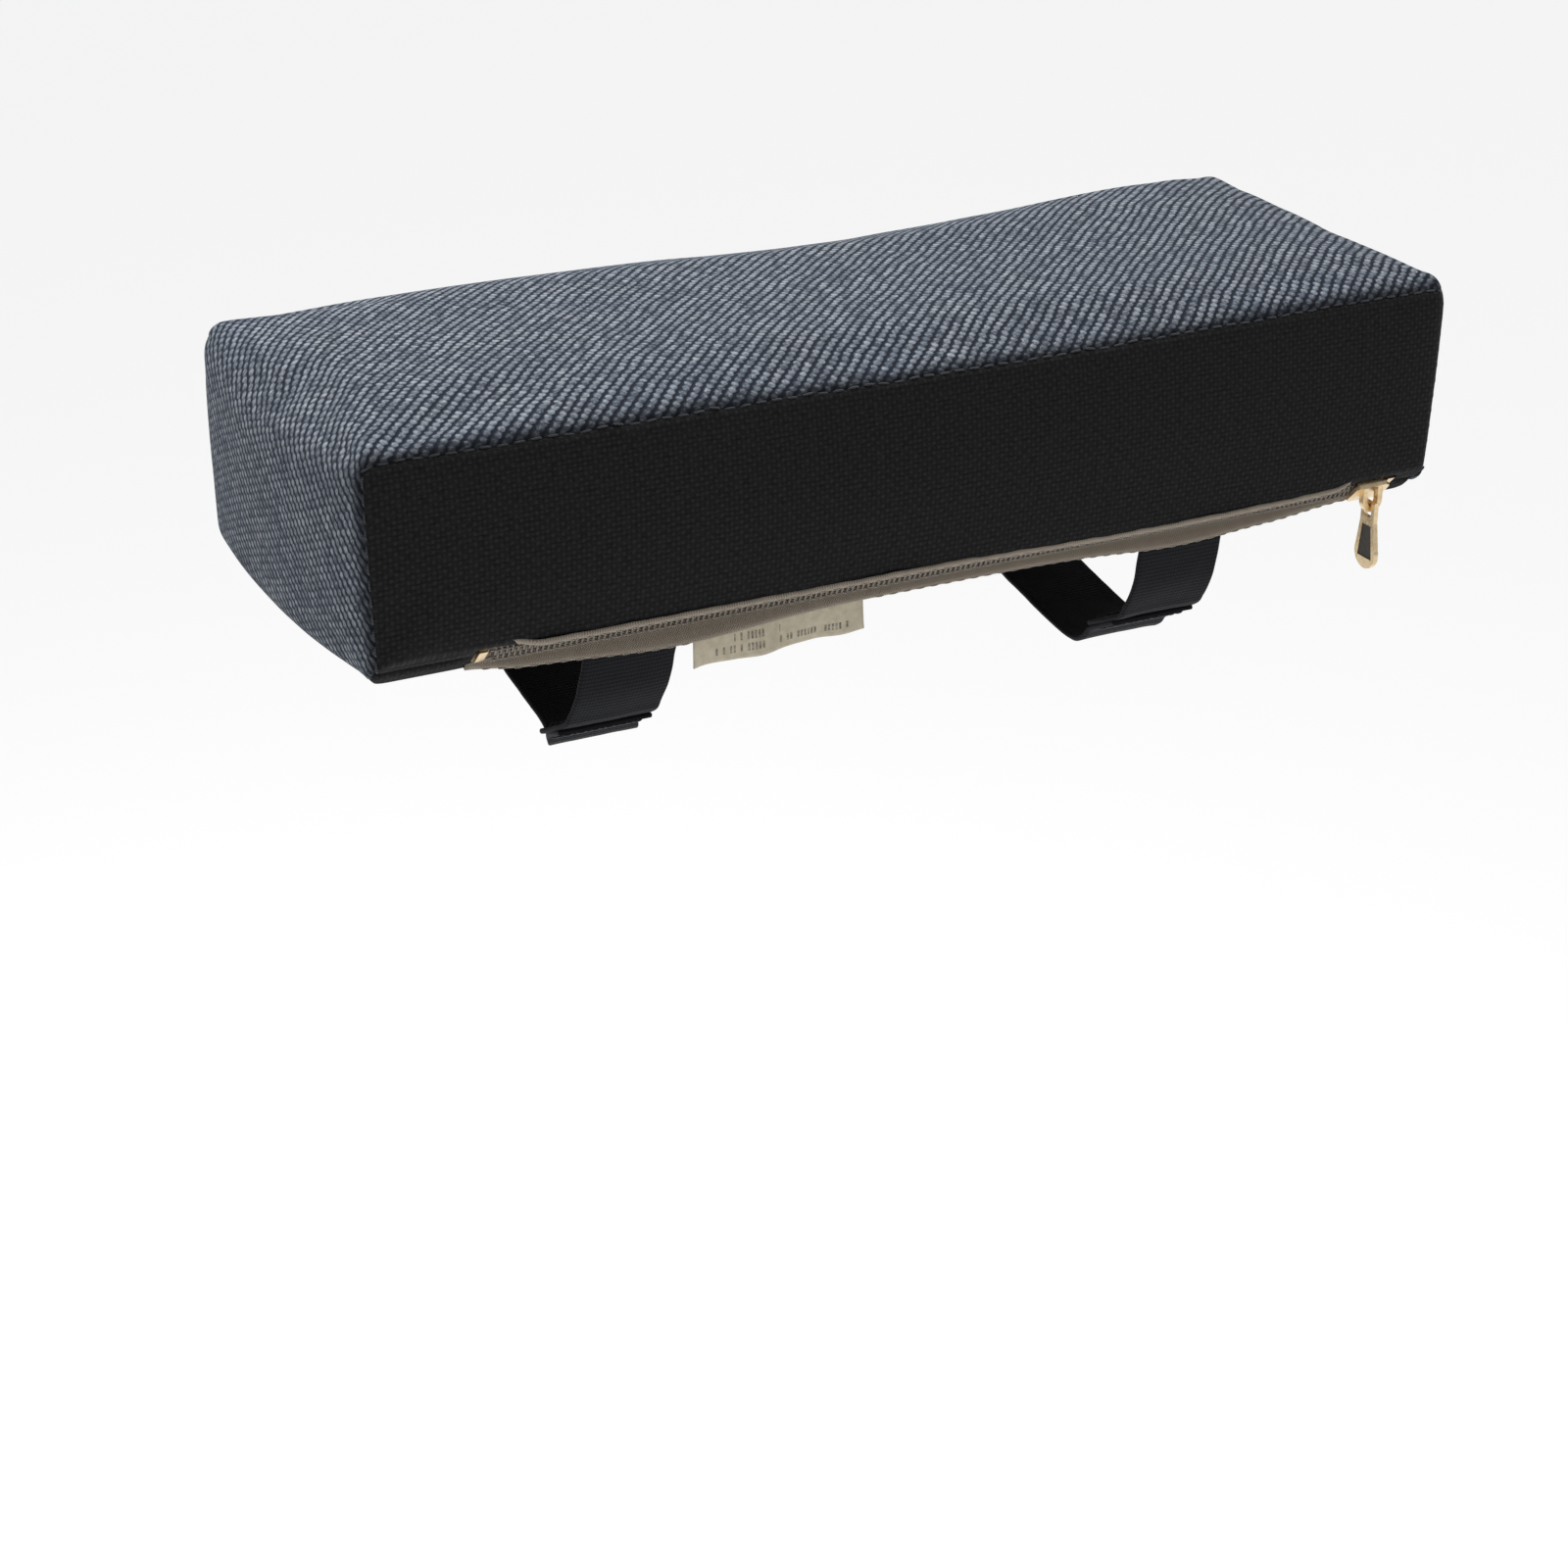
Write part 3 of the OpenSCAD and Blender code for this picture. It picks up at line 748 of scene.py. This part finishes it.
def panel_object(name, panel, material, thick=0.9):
    chosen = [q for q, pnl in quads if pnl == panel and keep_quad(q, panel)]
    used = sorted({n for q in chosen for n in q})
    where = {n: m for m, n in enumerate(used)}
    pts = P[used].copy()
    nrm = NORMALS[used]
    edge = {}
    for q in chosen:
        for a, b in zip(q, q[1:] + q[:1]):
            key = tuple(sorted((a, b)))
            edge[key] = edge.get(key, 0) + 1
    rim = {n for key, count in edge.items() if count == 1 for n in key}
    for m, n in enumerate(used):
        if n in rim:
            i, j, k = kinds[n]
            deep = 1.3 if panel == "bottom" else 0.75
            if panel in ("front", "bottom") and IN_SLOT[n]:
                deep = 0.35
            pts[m] = pts[m] - nrm[m] * deep
    obj = new_object(name, pts, [tuple(where[n] for n in q) for q in chosen])
    if panel == "top":
        weave = STRIP[used]
    elif panel in ("front", "rear"):
        weave = np.stack([P[used][:, 0], P[used][:, 2] + P[used][:, 1] * 0.6, np.zeros(len(used))], 1)
    else:
        weave = np.stack([P[used][:, 0], P[used][:, 1] - P[used][:, 2] * 0.6, np.zeros(len(used))], 1)
    set_vector(obj, "weave", weave)
    sub = obj.modifiers.new("sub", "SUBSURF")
    sub.levels = sub.render_levels = 1
    sub.boundary_smooth = "PRESERVE_CORNERS"
    thickness = obj.modifiers.new("thick", "SOLIDIFY")
    thickness.thickness = thick * MM
    thickness.offset = -1
    thickness.use_even_offset = False
    settle(obj)
    paint(obj, material)
    obj.data.shade_smooth()
    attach(obj, "cushion")
    return obj


cover_top = panel_object("cover_top", "top", TWEED)
cover_front = panel_object("cover_front", "front", DARK)
cover_rear = panel_object("cover_rear", "rear", DARK)
cover_bottom = panel_object("cover_bottom", "bottom", DARK)
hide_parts("cover_top_panel")
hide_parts("cover_front_panel")
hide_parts("cover_rear_panel")
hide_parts("cover_bottom_panel")

# foam block inside the cover
foam_points = P - NORMALS * 2.0
w_foam = (foam_points[:, 1:] - MID) @ W_DIR
near = (foam_points[:, 1] < -25) & (foam_points[:, 2] < 20)
cut = near & (w_foam > -4.2)
foam_points[cut, 1:] -= W_DIR * (w_foam[cut] + 4.2)[:, None]
foam = new_object("foam_block", foam_points, [q for q, _ in quads])
paint(foam, FOAM)
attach(foam, "cushion")
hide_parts("foam_core")

# ---------------------------------------------------------------- seam threads
def seam_line(side):
    """Points along one long panel's seam, from the lower left corner round to the lower right."""
    j = 0 if side < 0 else NY
    keys = [(0, j, k) for k in range(2, NZ)] + [(i, j, NZ - 1) for i in range(1, NX)]
    keys += [(NX, j, k) for k in range(NZ - 1, 1, -1)]
    return [lattice[key] for key in keys]


def seam_stitches(name, side, node):
    ids = seam_line(side)
    pts = np.array([P[n] for n in ids])
    nrm = np.array([NORMALS[n] for n in ids])
    length = np.concatenate([[0], np.cumsum(np.linalg.norm(np.diff(pts, axis=0), axis=1))])
    verts, faces = [], []
    total = length[-1]
    count = int(total // 3.4)
    for c in range(count):
        at = (c + 0.5) * total / count
        p = np.array([np.interp(at, length, pts[:, a]) for a in range(3)])
        q = np.array([np.interp(at + 0.5, length, pts[:, a]) for a in range(3)])
        out = np.array([np.interp(at, length, nrm[:, a]) for a in range(3)])
        along = q - p
        stitch(verts, faces, p - out * 0.62, along, out, length=2.5, r=0.24, sink=0.05)
    obj = new_object(name, verts, faces)
    outward(obj)
    paint(obj, THREAD)
    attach(obj, "cushion")
    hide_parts(node)
    return obj


seam_stitches("seam_thread_front_side", -1, "seam_thread_front")
seam_stitches("seam_thread_rear_side", 1, "seam_thread_rear")


# ---------------------------------------------------------------- zipper
def tape(name, side, node):
    """A woven tape: from the chain it turns out over the panel's hem, where it is sewn down."""
    xs = np.linspace(CHAIN_L - 3.5, CHAIN_R + 1, 220)
    outer, inner = [], []
    for x in xs:
        b = hem_bulge(x) if side < 0 else 0.35 * step(x, -100, -88) * (1 - step(x, -30, 10))
        wave = 0.12 * math.sin(x * 0.43) + 0.08 * math.sin(x * 1.07 + 1)
        if side < 0:
            line = [(0.28, -1.12), (1.0, -0.9), (2.1, -0.6), (3.0, -0.4), (3.3, -0.1), (3.42, 0.2 + 0.35 * b),
                    (3.55, 0.25 + 0.85 * b), (3.85, 0.45 + b), (4.3, 0.5 + b), (4.7 + wave, 0.3 + 0.9 * b)]
        else:
            line = [(0.28, -1.28), (1.0, -1.5), (2.1, -1.55), (3.0, -1.4), (3.3, -0.7), (3.42, 0.0),
                    (3.6, 0.3 + 0.5 * b), (4.0, 0.42 + b), (4.6, 0.4 + b), (5.15 + wave, 0.15 + b)]
            show = step(x, -99, -88) * (1 - step(x, 98, 106))
            line = [(v, w if v < 3.35 else w * show - 1.0 * (1 - show)) for v, w in line]
            line = [lipped(x, v, w) if v > 3.35 else (v, w) for v, w in line]
        fold = -0.02 if side < 0 else 0.9 * hem_drop(x)
        back = [(v + (0.12 if 2.9 < v < 3.5 else 0.0), min(w - 0.55, fold if v > 3.6 else w - 0.55))
                for v, w in line]
        outer.append([(x, side * v, w) for v, w in line])
        inner.append([(x, side * v, w) for v, w in back])
    verts, weave, faces = [], [], []
    for sheet in (outer, inner):
        for row in sheet:
            gone = 0.0
            last = row[0]
            for x, v, w in row:
                gone += math.hypot(v - last[1], w - last[2])
                last = (x, v, w)
                verts.append(edge_point(x, v, w))
                weave.append((x, gone, 0))
    n, r = len(xs), len(outer[0])
    for i in range(n - 1):
        for k in range(r - 1):
            a = i * r + k
            faces.append((a, a + 1, a + r + 1, a + r))
            b = n * r + a
            faces.append((b, b + r, b + r + 1, b + 1))
    for i in range(n - 1):
        for k in (0, r - 1):
            a, b = i * r + k, (i + 1) * r + k
            faces.append((a, b, b + n * r, a + n * r))
    for k in range(r - 1):
        for i in (0, n - 1):
            a, b = i * r + k, i * r + k + 1
            faces.append((a, b, b + n * r, a + n * r))
    obj = new_object(name, verts, faces)
    outward(obj)
    set_vector(obj, "weave", weave)
    paint(obj, TAPE)
    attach(obj, "cushion")
    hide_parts(node)
    return obj


tape("zipper_tape_top", 1, "zipper_tape_upper")
tape("zipper_tape_under", -1, "zipper_tape_lower")


def coil(name, side, node):
    """One side of the chain: a flattened nylon helix whose heads meet the other side's."""
    shift = 0.0 if side > 0 else PITCH / 2
    count = int((CHAIN_R - CHAIN_L) / PITCH) - 1
    path = []
    for t in range(count):
        x = CHAIN_L + 0.6 + shift + t * PITCH
        for a in range(14):
            th = -math.pi + 2 * math.pi * a / 14
            c, s = math.cos(th), math.sin(th)
            v = 0.76 + 1.26 * math.copysign(abs(c) ** 0.75, c)
            w = -0.45 + 0.46 * s
            turn = max(0.0, min(1.0, (th + math.pi / 3) / (2 * math.pi / 3)))
            ahead = PITCH * turn * turn * (3 - 2 * turn)
            path.append(np.array(edge_point(x + ahead, side * v, w - TILT * side * v)))
    path = np.array(path)
    ring = [(0.27 * math.cos(b), 0.27 * math.sin(b)) for b in np.linspace(0, 2 * math.pi, 8)[:-1]]
    tangent = np.gradient(path, axis=0)
    tangent /= np.linalg.norm(tangent, axis=1)[:, None]
    ref = np.array([1.0, 0, 0])
    frames = []
    for d in tangent:
        a = ref - d * (d @ ref)
        a /= max(np.linalg.norm(a), 1e-6)
        frames.append((a, np.cross(d, a)))
    verts, faces = [], []
    tube(verts, faces, path, ring, frames)
    # the cord inside the coil
    cord_path = [np.array(edge_point(x, side * 1.35, -0.47 - TILT * side * 1.35))
                 for x in np.linspace(CHAIN_L + 0.3, CHAIN_R - 0.5, 60)]
    small = [(0.2 * math.cos(b), 0.2 * math.sin(b)) for b in np.linspace(0, 2 * math.pi, 7)[:-1]]
    axes = (np.array([0, V_DIR[0], V_DIR[1]]), np.array([0, W_DIR[0], W_DIR[1]]))
    tube(verts, faces, cord_path, small, [axes] * 60)
    obj = new_object(name, verts, faces)
    outward(obj)
    paint(obj, COIL)
    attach(obj, "cushion")
    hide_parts(node)
    # the thread that sews the coil to its tape
    verts, faces = [], []
    for x in np.arange(CHAIN_L + 1.2, CHAIN_R - 1, 2 * PITCH):
        stitch(verts, faces, edge_point(x + 0.6, side * 1.45, 0.2 - TILT * side * 1.45), (1, 0, 0),
               (0, W_DIR[0], W_DIR[1]), length=2.1, r=0.13, sink=0.02)
    sewn = new_object(name + "_thread", verts, faces)
    outward(sewn)
    paint(sewn, THREAD_LIGHT)
    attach(sewn, "cushion")
    return obj


coil("zipper_coil_top", 1, "zipper_coil_upper")
coil("zipper_coil_under", -1, "zipper_coil_lower")


def hem_stitches(name, side):
    """The line of stitches that holds a tape to its panel's hem."""
    verts, faces = [], []
    for x in np.arange(CHAIN_L + 1, CHAIN_R - 1, 3.2):
        b = hem_bulge(x) if side < 0 else 0.35 * step(x, -100, -88) * (1 - step(x, -30, 10))
        level = 0.5 + b if side < 0 else 0.42 + b
        if side > 0 and not -86 < x < 97:
            continue
        # the label is sewn in here and folds up over this line
        if side < 0 and abs(x - LABEL_X) < LABEL_W / 2 + 1.75:
            continue
        v, level = lipped(x, 4.1, level) if side > 0 else (4.1, level)
        stitch(verts, faces, edge_point(x, side * v, level), (1, 0, 0), (0, W_DIR[0], W_DIR[1]),
               length=2.3, r=0.15, sink=0.06)
    obj = new_object(name, verts, faces)
    outward(obj)
    paint(obj, THREAD_LIGHT)
    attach(obj, "cushion")


hem_stitches("hem_thread_front", 1)
hem_stitches("hem_thread_under", -1)

for node, material in (("zipper_slider", GOLD), ("zipper_pull_tab", GOLD), ("zipper_top_stops", GOLD),
                       ("zipper_bottom_stop", GOLD), ("zipper_pull_inlay", INLAY)):
    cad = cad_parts[node]
    paint(cad, material)
    bevel = cad.modifiers.new("bevel", "BEVEL")
    bevel.width = 0.14 * MM if node != "zipper_top_stops" else 0.08 * MM
    bevel.segments = 2
    bevel.limit_method = "ANGLE"
    bevel.angle_limit = math.radians(35)


# ---------------------------------------------------------------- care label
def care_label():
    """A folded tape of satin, wavy along its lower edge."""
    x0, x1 = LABEL_X - LABEL_W / 2, LABEL_X + LABEL_W / 2
    xs = np.linspace(x0, x1, 60)
    zs = np.linspace(1.2, -8.0, 18)
    verts, faces, weave = [], [], []
    for layer in (0, 1):
        for x in xs:
            for z in zs:
                d = max(0.0, -z / 8.0)
                wave = 0.75 * d * d * math.sin((x - x0) * 0.26 + 0.6) + 0.3 * d * math.sin((x - x0) * 0.71)
                lean = -0.5 * d
                y = -39.35 + wave * 0.6 + lean + (0.17 if layer else -0.17)
                tilt = -0.9 * d * (x1 - x) / LABEL_W + 0.9 * d * (x - x0) / LABEL_W
                verts.append((x, y, -0.4 + z + tilt + 0.25 * d * math.sin((x - x0) * 0.33)))
                weave.append((x - LABEL_X, z, 0))
    n, r = len(xs), len(zs)
    for i in range(n - 1):
        for k in range(r - 1):
            a = i * r + k
            faces.append((a, a + 1, a + r + 1, a + r))
            b = n * r + a
            faces.append((b, b + r, b + r + 1, b + 1))
    for i in range(n - 1):
        for k in (0, r - 1):
            a, b = i * r + k, (i + 1) * r + k
            faces.append((a, b, b + n * r, a + n * r))
    for k in range(r - 1):
        for i in (0, n - 1):
            a, b = i * r + k, i * r + k + 1
            faces.append((a, b, b + n * r, a + n * r))
    obj = new_object("care_label_tape", verts, faces)
    outward(obj)
    set_vector(obj, "weave", weave)
    paint(obj, LABEL)
    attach(obj, "label")
    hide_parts("care_label")
    return obj


care_label()


# ---------------------------------------------------------------- straps
def smooth_line(points, steps):
    """The same smooth curve as the CAD strap's, sampled more finely."""
    p = [np.array(q, float) for q in points]
    last = len(p) - 1
    out = []
    for i in range(last):
        a, b = p[max(i - 1, 0)], p[i]
        c, d = p[min(i + 1, last)], p[min(i + 2, last)]
        for s in range(steps):
            t = s / steps
            out.append(0.5 * (2 * b + (c - a) * t + (2 * a - 5 * b + 4 * c - d) * t * t
                              + (3 * b - a - 3 * c + d) * t ** 3))
    out.append(p[last])
    return np.array(out)


def band(name, points, centre, nodes, lean, lift, seed=0.0):
    """A flat elastic band along a path in (Y, Z), with slightly rounded, uneven edges."""
    line = smooth_line(points, 8)
    grad = np.gradient(line, axis=0)
    grad /= np.linalg.norm(grad, axis=1)[:, None]
    normal = np.stack([-grad[:, 1], grad[:, 0]], 1)
    s = np.concatenate([[0], np.cumsum(np.linalg.norm(np.diff(line, axis=0), axis=1))])
    half = STRAP_W / 2
    across = np.concatenate([[-half], np.linspace(-half + 0.3, half - 0.3, 27), [half]])
    prof = []
    for x in across:
        prof.append((x, STRAP_T / 2 if abs(x) < half - 0.01 else STRAP_T / 2 * 0.45))
    for x in across[::-1]:
        prof.append((x, -STRAP_T / 2 if abs(x) < half - 0.01 else -STRAP_T / 2 * 0.45))
    verts, faces, weave = [], [], []
    for a, (p, nrm) in enumerate(zip(line, normal)):
        ends = min(1.0, s[a] / 6.0, (s[-1] - s[a]) / 6.0)
        for x, t in prof:
            curl = 0.25 * ends * (x / half) ** 2 * math.sin(s[a] * 0.11 + seed)
            ripple = 0.10 * ends * noise.noise(Vector((x / 5.0, s[a] / 6.0, seed)))
            edge = 1 + 0.012 * noise.noise(Vector((s[a] / 4.0, seed, 0.0)))
            q = (p + nrm * (t + curl + ripple)) * np.array([1.0, lift])
            verts.append((centre + x * edge + lean(s[a] / s[-1]), q[0], min(q[1], 1.3 if q[0] < 0 else 0.6)))
            weave.append((s[a], x, 0))
    n = len(prof)
    for a in range(len(line) - 1):
        for k in range(n):
            q = (k + 1) % n
            faces.append((a * n + k, a * n + q, (a + 1) * n + q, (a + 1) * n + k))
    for a, rev in ((0, True), (len(line) - 1, False)):
        half_n = n // 2
        for k in range(half_n - 1):
            quad = (a * n + k, a * n + k + 1, a * n + n - 2 - k, a * n + n - 1 - k)
            faces.append(quad if rev else quad[::-1])
    obj = new_object(name, verts, faces)
    outward(obj)
    set_vector(obj, "weave", weave)
    paint(obj, ELASTIC)
    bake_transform(obj)
    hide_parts(*nodes)
    return obj


def overlap_stitches(name, centre, body, node, shift, lift):
    a, b = (np.array(q, float) * np.array([1.0, lift]) for q in LOOP[:2])
    d = (b - a) / np.linalg.norm(b - a)
    out = np.array([d[1], -d[0]])
    if out[1] > 0:
        out = -out
    verts, faces = [], []
    for face, level in ((1, STRAP_T / 2), (-1, -STRAP_T / 2 - 1.32)):
        for row in range(3):
            base = a + d * (2.2 + row * 3.2) + out * level
            for c in range(6):
                x = centre + shift - STRAP_W / 2 + 2.5 + c * 3.1
                stitch(verts, faces, (x, base[0], base[1]), (1, 0, 0),
                       (0, out[0] * face, out[1] * face), length=2.3, r=0.22, sink=0.04)
    obj = new_object(name, verts, faces)
    outward(obj)
    paint(obj, THREAD)
    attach(obj, body)
    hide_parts(node)


for side, sign, seed, lift, lean_top, lean_low, lean_rear in (
        ("left", -1, 0.4, 0.93, -1.9, -4.4, 3.6), ("right", 1, 2.1, 0.955, -2.6, -3.6, -2.6)):
    body = "strap_" + side
    band(f"strap_{side}_tail", TAIL, sign * STRAP_X,
         [f"strap_{side}_front_tail", f"strap_{side}_overlap_tab"],
         lambda t: lean_top + (lean_low - lean_top) * min(1.0, t * 1.4), lift, seed)
    band(f"strap_{side}_loop", LOOP, sign * STRAP_X,
         [f"strap_{side}_band", f"strap_{side}_rear_leg"],
         lambda t: lean_low + (lean_rear - lean_low) * step(t, 0.03, 0.36), lift, seed + 1.0)
    overlap_stitches(f"strap_{side}_threads", sign * STRAP_X, body, f"strap_{side}_stitching", lean_low, lift)

# ---------------------------------------------------------------- floor and light
floor = new_object("floor",
                   [(-3000, -3000, -450), (3000, -3000, -450), (3000, 3000, -450), (-3000, 3000, -450)],
                   [(0, 1, 2, 3)], smooth=False)
fm = Nodes("floor")
fm.finish((0.93, 0.93, 0.93), 0.95, specular=0.0)
fm.bsdf.inputs["Emission Color"].default_value = (1, 1, 1, 1)
fm.bsdf.inputs["Emission Strength"].default_value = 0.1
paint(floor, fm.mat)

world = bpy.data.worlds.new("studio")
bpy.context.scene.world = world
world.use_nodes = True
world.node_tree.nodes["Background"].inputs[0].default_value = (1, 1, 1, 1)
world.node_tree.nodes["Background"].inputs[1].default_value = 0.44


def area(name, where, size, power, at=(0, 0, 0.02)):
    data = bpy.data.lights.new(name, "AREA")
    data.shape = "DISK"
    data.size = size
    data.energy = power
    light = bpy.data.objects.new(name, data)
    light.location = where
    light.rotation_euler = (Vector(at) - Vector(where)).to_track_quat("-Z", "Y").to_euler()
    bpy.context.scene.collection.objects.link(light)


area("key", (-0.20, 0.26, 0.5), 0.4, 2.7)
sun = bpy.data.lights.new("sky_light", "SUN")
sun.energy = 1.5
sun.angle = math.radians(50)
sun_object = bpy.data.objects.new("sky_light", sun)
sun_object.rotation_euler = Vector((0.45, 0.3, 1.0)).to_track_quat("Z", "Y").to_euler()
bpy.context.scene.collection.objects.link(sun_object)
bpy.context.scene.view_settings.view_transform = "Standard"
